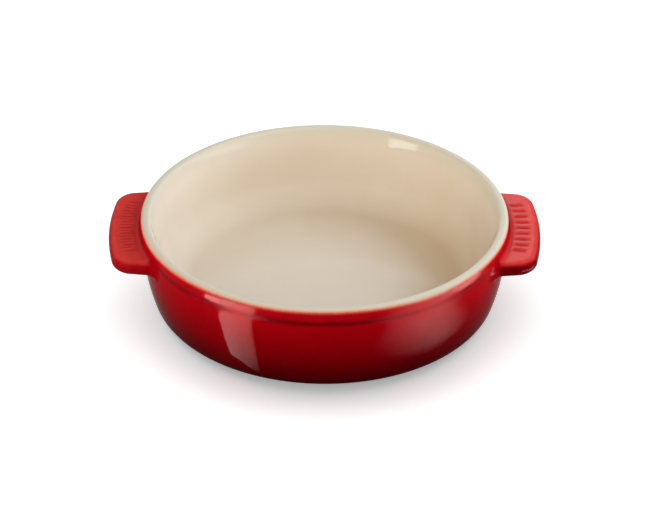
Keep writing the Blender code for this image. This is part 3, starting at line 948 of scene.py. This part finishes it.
# 1 for rays that show the background: the camera's, and those mirrored or let through
def showsBackground(tree):
    path = addNode(tree, "ShaderNodeLightPath")
    seen = addNode(tree, "ShaderNodeMath", {0: path.outputs["Is Camera Ray"], 1: path.outputs["Is Glossy Ray"]},
                   operation="MAXIMUM")
    seen = addNode(tree, "ShaderNodeMath", {0: seen.outputs[0], 1: path.outputs["Is Transmission Ray"]},
                   operation="MAXIMUM")
    return seen.outputs[0]


def makeFloor():
    size = studio["floorSize"] / 2 * mm
    mesh = bpy.data.meshes.new("floor")
    corners = [(-size, -size, 0), (size, -size, 0), (size, size, 0), (-size, size, 0)]
    mesh.from_pydata(corners, [], [(0, 1, 2, 3)])
    floor = bpy.data.objects.new("floor", mesh)
    floor.location.z = -studio["floorDrop"] * mm
    bpy.context.scene.collection.objects.link(floor)
    groups["floor"].append(floor)
    material, tree, shader = newMaterial("paperFloor")
    paper = addNode(tree, "ShaderNodeMix", {"Factor": showsBackground(tree), "A": linear(studio["bounce"]),
                                            "B": linear(studio["floor"])}, data_type="RGBA")
    tree.links.new(paper.outputs["Result"], shader.inputs["Base Color"])
    path = addNode(tree, "ShaderNodeLightPath")
    lift = addNode(tree, "ShaderNodeMath", {0: path.outputs["Is Camera Ray"], 1: studio["lift"]},
                   operation="MULTIPLY")
    tree.links.new(lift.outputs[0], shader.inputs["Emission Strength"])
    shader.inputs["Emission Color"].default_value = (1, 1, 1, 1)
    shader.inputs["Roughness"].default_value = 1.0
    shader.inputs["Specular IOR Level"].default_value = 0.0
    mesh.materials.append(material)


def makeWorld():
    world = bpy.data.worlds.new("softDome")
    world.use_nodes = True
    tree = world.node_tree
    strength = addNode(tree, "ShaderNodeMapRange",
                       {"Value": showsBackground(tree), "To Min": studio["dome"], "To Max": 1.0})  # 1 is white
    background = tree.nodes["Background"]
    tree.links.new(strength.outputs[0], background.inputs["Strength"])
    background.inputs["Color"].default_value = (1, 1, 1, 1)
    bpy.context.scene.world = world


def makeLamp(name, lamp):
    data = bpy.data.lights.new(name, "AREA")
    data.shape = "RECTANGLE"
    data.size, data.size_y = [side * mm for side in lamp["size"]]
    data.energy = lamp["watts"]
    data.color = linear(lamp.get("colour", "#ffffff"))[:3]
    light = bpy.data.objects.new(name, data)
    light.location = Vector(lamp["at"]) * mm
    light.rotation_euler = (Vector(lamp["at"]) - Vector(studio["aim"])).to_track_quat("Z", "Y").to_euler()
    light.visible_camera = False
    bpy.context.scene.collection.objects.link(light)
    for key, role in (("on", "receiver_collection"), ("shadedBy", "blocker_collection")):
        if key in lamp:
            group = bpy.data.collections.new(name + key)
            for piece in groups[lamp[key]]:
                group.objects.link(piece)
            setattr(light.light_linking, role, group)
    return light


# 1 between the first and last value, 0 outside, with soft ends
def softSpan(tree, value, span):
    first, last, soft = span
    off = addNode(tree, "ShaderNodeMath", {0: value, 1: (first + last) / 2}, operation="SUBTRACT")
    off = addNode(tree, "ShaderNodeMath", {0: off.outputs[0]}, operation="ABSOLUTE")
    half = (last - first) / 2
    share = addNode(tree, "ShaderNodeMapRange",
                    {"Value": off.outputs[0], "From Min": half + soft / 2, "From Max": half - soft / 2},
                    interpolation_type="SMOOTHSTEP")
    return share.outputs[0]


# Lays a panel flat, facing up, and limits its light as its dictionary says
def shapePanel(light, panel):
    light.rotation_euler = (math.pi, 0, math.radians(panel["turn"]))
    light.data.use_nodes = True
    tree = light.data.node_tree
    place = addNode(tree, "ShaderNodeNewGeometry")
    parts = addNode(tree, "ShaderNodeSeparateXYZ", {"Vector": place.outputs["Parametric"]})
    length, width = panel["size"]
    along = addNode(tree, "ShaderNodeMath", {0: parts.outputs["X"], 1: length}, operation="MULTIPLY")
    across = addNode(tree, "ShaderNodeMath", {0: parts.outputs["Y"], 1: width, 2: -width / 2},
                     operation="MULTIPLY_ADD")
    sides = [addNode(tree, "ShaderNodeMapRange",
                     {"Value": along.outputs[0], "From Max": reach, "To Min": near, "To Max": far}).outputs[0]
             for near, reach, far in panel["sides"]]
    both = addNode(tree, "ShaderNodeMath", {0: sides[0], 1: sides[1]}, operation="ADD")
    middle = addNode(tree, "ShaderNodeMath", {0: both.outputs[0], 1: -0.5, 2: across.outputs[0]},
                     operation="MULTIPLY_ADD")
    aside = addNode(tree, "ShaderNodeMath", {0: middle.outputs[0]}, operation="ABSOLUTE")
    wide = addNode(tree, "ShaderNodeMath", {0: sides[0], 1: sides[1]}, operation="SUBTRACT")
    share = addNode(tree, "ShaderNodeMath", {0: aside.outputs[0], 1: wide.outputs[0]}, operation="DIVIDE")
    inside = addNode(tree, "ShaderNodeMapRange",
                     {"Value": share.outputs[0], "From Min": 0.5, "From Max": 0.5 - panel["softEdge"] / 2},
                     interpolation_type="SMOOTHSTEP")
    start, end = panel["dim"]
    fade = addNode(tree, "ShaderNodeMapRange", {"Value": along.outputs[0], "From Min": start, "From Max": end})
    flat = addNode(tree, "ShaderNodeVectorMath", {0: place.outputs["Position"], 1: (1 / mm, 1 / mm, 0)},
                   operation="MULTIPLY")
    radius = addNode(tree, "ShaderNodeVectorMath", {0: flat.outputs[0]}, operation="LENGTH")
    spot = addNode(tree, "ShaderNodeSeparateXYZ", {"Vector": flat.outputs[0]})
    turn = addNode(tree, "ShaderNodeMath", {0: spot.outputs["Y"], 1: spot.outputs["X"]}, operation="ARCTAN2")
    ahead = addNode(tree, "ShaderNodeVectorMath", {
        0: place.outputs["Incoming"], 1: Vector(panel["faces"]).normalized()}, operation="DOT_PRODUCT")
    dark, full = [math.cos(math.radians(angle)) for angle in panel["beam"]]
    beam = addNode(tree, "ShaderNodeMapRange",
                   {"Value": ahead.outputs["Value"], "From Min": dark, "From Max": full},
                   interpolation_type="SMOOTHSTEP")
    inRing = softSpan(tree, radius.outputs["Value"], panel["radii"])
    inSector = softSpan(tree, turn.outputs[0], [math.radians(part) for part in panel["turns"]])
    shown = inside.outputs[0]
    for limit in (fade.outputs[0], beam.outputs[0], inRing, inSector):
        shown = addNode(tree, "ShaderNodeMath", {0: shown, 1: limit}, operation="MULTIPLY").outputs[0]
    tree.links.new(shown, tree.nodes["Emission"].inputs["Strength"])


def makeStudio():
    makeFloor()
    makeWorld()
    for name, lamp in lamps.items():
        makeLamp(name, lamp).visible_glossy = False
    for name, lamp in softboxes.items():
        makeLamp(name, lamp)
    for name, lamp in glints.items():
        makeLamp(name, lamp).visible_diffuse = False
    for name, panel in panels.items():
        light = makeLamp(name, {**panelLight, **panel})
        light.visible_diffuse = False
        shapePanel(light, panel)


def dress(piece, node, material):
    piece.data.materials.append(material)
    groups["dish"].append(piece)
    groups["red" if piece.name == "redGlazedOutside" else "turned"].append(piece)
    if piece.name == "creamGlazedInside":
        groups["cream"].append(piece)
    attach(piece, "root")
    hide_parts(node)
    print(f"{piece.name}: {len(piece.data.polygons)} faces")


redGlaze = redGlazedStoneware()
cream = makeCreamCoat()
addThinness(cream)
dress(cream, "interior_glaze", creamGlazedStoneware())
red = makeRedCoat()
addThinness(red)
dress(red, "exterior_glaze", redGlaze)
dress(makeClayCore(), "stoneware_body", bareStoneware())
dress(makeFootRecess(), "underside_glaze", redGlaze)
print("pieces done")

makeCamera()
makeStudio()
scene = bpy.context.scene
scene.view_settings.view_transform = "Standard"
print("studio done")
